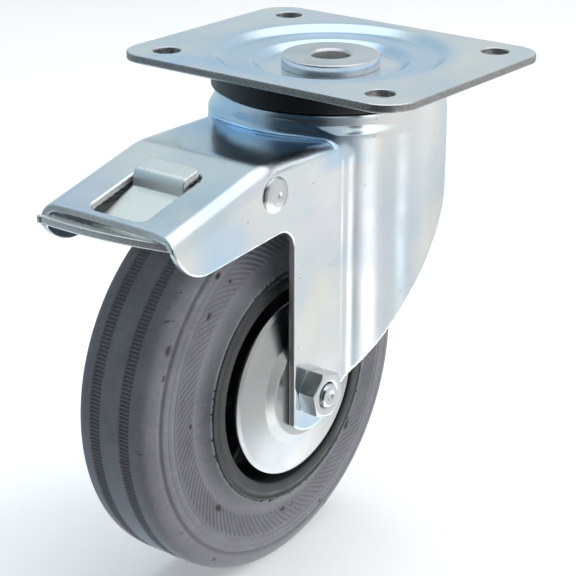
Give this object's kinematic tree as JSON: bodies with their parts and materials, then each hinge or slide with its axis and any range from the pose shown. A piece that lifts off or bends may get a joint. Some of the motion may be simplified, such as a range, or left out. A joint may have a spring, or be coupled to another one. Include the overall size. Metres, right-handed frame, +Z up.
{
  "type": "swivel caster",
  "caption": "Plate-mounted swivel caster with a rubber-tyred wheel in a pressed steel fork and a foot brake under a hood; carries gates, trolleys and racks.",
  "frame": {"origin": "centre of the top plate's mounting face, on the swivel axis", "axes": "+Z up out of the mounting face along the swivel axis; the wheel trails towards -X, where the brake lip stands out; +Y along the plate's long side and the axle, away from the axle nut"},
  "size_m": [0.1913, 0.138, 0.2],
  "materials": {
    "zinc_plate": "blue-white zinc plating, satin to bright",
    "zinc_fastener": "bright zinc plating",
    "lever_steel": "satin zinc plating",
    "bearing_steel": "polished",
    "spring_steel": "oiled",
    "black_plastic": "moulded, semi-matt",
    "cage_plastic": "natural nylon",
    "grey_rubber": "matt grey rubber"
  },
  "bodies": {
    "plate": {"top_plate": "zinc_plate", "kingpin": "zinc_fastener", "lower_race_cup": "zinc_plate"},
    "fork": {"fork": "zinc_plate", "swivel_dust_seal": "black_plastic", "lever_pivot_pin": "zinc_fastener", "lever_spring": "spring_steel", "axle_bolt": "zinc_fastener", "axle_nut": "zinc_fastener", "axle_sleeve": "zinc_fastener", "thread_guard_near": "zinc_plate", "thread_guard_far": "zinc_plate"},
    "lever": {"brake_lever": "lever_steel", "brake_shoe": "black_plastic", "shoe_rivets": "zinc_fastener", "lever_pivot_sleeve": "zinc_fastener"},
    "wheel": {"tyre": "grey_rubber", "wheel_rim": "black_plastic", "hub_liner": "bearing_steel"},
    "upper_ball_ring": {"upper_race_balls": "bearing_steel"},
    "lower_ball_ring": {"lower_race_balls": "bearing_steel"},
    "roller_ring": {"roller_cage": "cage_plastic", "bearing_rollers": "bearing_steel"}
  },
  "joints": [
    {"name": "swivel", "type": "hinge", "parent": "plate", "child": "fork", "pos_m": [0, 0, 0], "axis": [0, 0, 1], "continuous": true},
    {"name": "wheel_spin", "type": "hinge", "parent": "fork", "child": "wheel", "pos_m": [-0.056, 0, -0.12], "axis": [0, 1, 0], "continuous": true},
    {"name": "lever_press", "type": "hinge", "parent": "fork", "child": "lever", "pos_m": [-0.079, 0, -0.033], "axis": [0, -1, 0], "range_deg": [0, 10]},
    {"name": "upper_ball_roll", "type": "hinge", "parent": "plate", "child": "upper_ball_ring", "pos_m": [0, 0, -0.00905], "axis": [0, 0, 1], "continuous": true},
    {"name": "lower_ball_roll", "type": "hinge", "parent": "plate", "child": "lower_ball_ring", "pos_m": [0, 0, -0.01655], "axis": [0, 0, 1], "continuous": true},
    {"name": "roller_ring_turn", "type": "hinge", "parent": "fork", "child": "roller_ring", "pos_m": [-0.056, 0, -0.12], "axis": [0, 1, 0], "continuous": true}
  ],
  "couplings": [
    {"joint": "upper_ball_roll", "follows": "swivel", "ratio": 0.5},
    {"joint": "lower_ball_roll", "follows": "swivel", "ratio": 0.5},
    {"joint": "roller_ring_turn", "follows": "wheel_spin", "ratio": 0.6}
  ]
}
